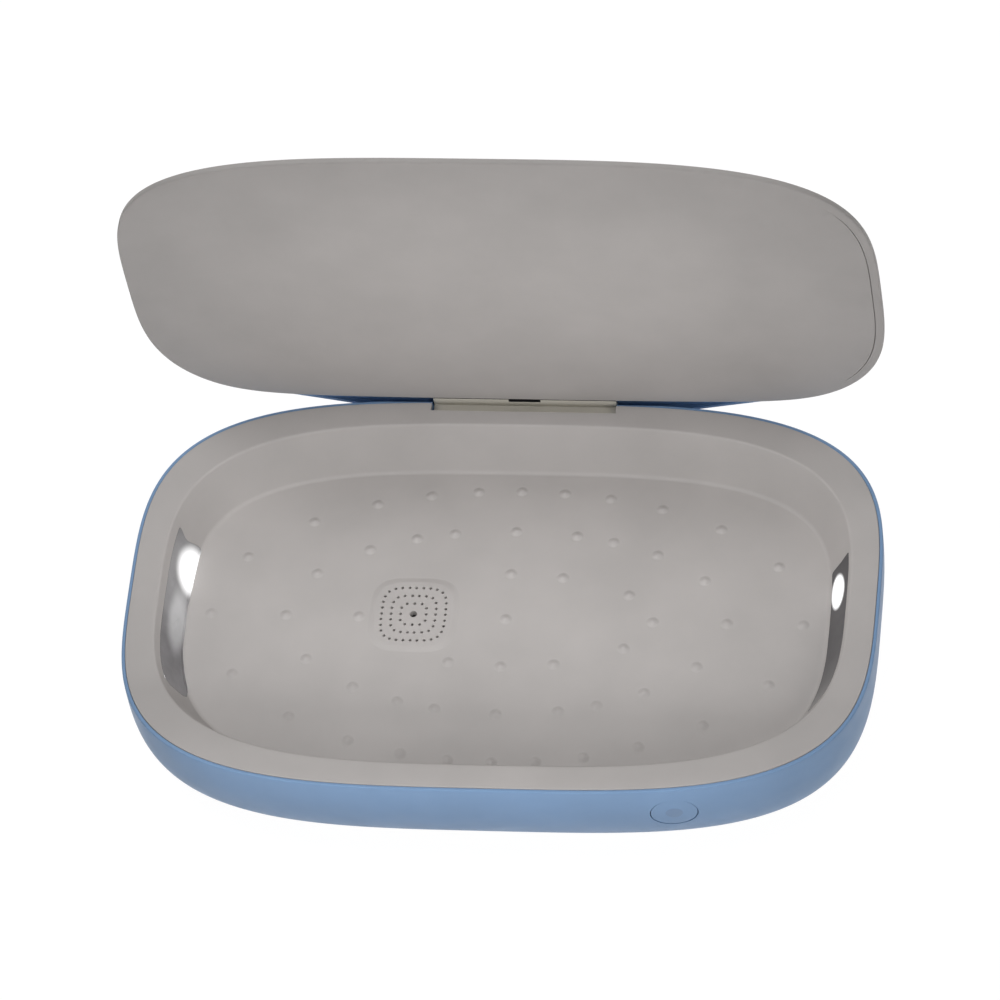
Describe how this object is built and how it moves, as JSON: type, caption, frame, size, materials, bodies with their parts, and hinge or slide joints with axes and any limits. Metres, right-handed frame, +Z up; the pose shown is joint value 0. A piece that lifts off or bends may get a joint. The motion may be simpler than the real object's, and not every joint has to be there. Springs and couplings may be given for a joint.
{
  "type": "uv sanitizer box for phones",
  "caption": "Pebble-shaped lidded box that holds a phone on a bumped tray under mirrored lamp windows, with a scent grille and a front button.",
  "frame": {"origin": "centre of the underside of the silicone pad that the box rests on", "axes": "+X to the right seen from the front, +Y towards the rear hinge, +Z up out of the tray"},
  "size_m": [0.218, 0.1454, 0.1655],
  "materials": {
    "shell_blue": "satin moulded plastic, sky blue",
    "screw_steel": "zinc plated",
    "board_black": "black solder mask",
    "guide_frost": "translucent, smooth",
    "chip_black": "black mould compound",
    "coil_grey": "ferrite grey",
    "knuckle_grey": "satin, beige grey",
    "steel_bright": "bright drawn steel",
    "led_white": "white lens",
    "tray_grey": "fine matt texture, warm light grey",
    "board_white": "white solder mask",
    "liner_grey": "fine matt texture, warm light grey",
    "magnet_nickel": "nickel plated",
    "board_green": "green solder mask",
    "silicone_dark": "matt silicone, dark grey",
    "cup_white": "off-white plastic",
    "felt_white": "pressed felt",
    "plunger_white": "white plastic",
    "switch_black": "black plastic",
    "lamp_ceramic": "ceramic lamp body",
    "window_mirror": "polished, mirror bright"
  },
  "bodies": {
    "base": {"base_shell": "shell_blue", "board_screw_1": "screw_steel", "board_screw_2": "screw_steel", "board_screw_3": "screw_steel", "board_screw_4": "screw_steel", "button_board": "board_black", "case_screw_1": "screw_steel", "case_screw_2": "screw_steel", "case_screw_3": "screw_steel", "case_screw_4": "screw_steel", "control_chip": "chip_black", "driver_coil": "coil_grey", "hinge_pin": "steel_bright", "indicator_led": "led_white", "inner_tray": "tray_grey", "lamp_board_left": "board_white", "lamp_board_right": "board_white", "lid_sensor": "chip_black", "main_board": "board_green", "non_slip_pad": "silicone_dark", "scent_cup": "cup_white", "scent_pad": "felt_white", "socket_tongue": "chip_black", "tact_switch": "switch_black", "usb_socket": "steel_bright", "uv_lamp_left_1": "lamp_ceramic", "uv_lamp_left_2": "lamp_ceramic", "uv_lamp_left_3": "lamp_ceramic", "uv_lamp_right_1": "lamp_ceramic", "uv_lamp_right_2": "lamp_ceramic", "uv_lamp_right_3": "lamp_ceramic", "uv_window_left": "window_mirror", "uv_window_right": "window_mirror"},
    "lid": {"hinge_knuckle": "knuckle_grey", "lid_liner": "liner_grey", "lid_shell": "shell_blue", "lid_magnet": "magnet_nickel"},
    "button": {"power_button": "shell_blue", "button_light_guide": "guide_frost", "switch_plunger": "plunger_white"}
  },
  "joints": [
    {"name": "lid_hinge", "type": "hinge", "parent": "base", "child": "lid", "pos_m": [0, 0.0654, 0.033], "axis": [1, 0, 0], "range_deg": [0, 83.5]},
    {"name": "button_press", "type": "slide", "parent": "base", "child": "button", "axis": [-0.1185, 0.9894, 0.0836], "range_m": [0, 0.0006], "stiffness_N_per_m": 1500}
  ]
}
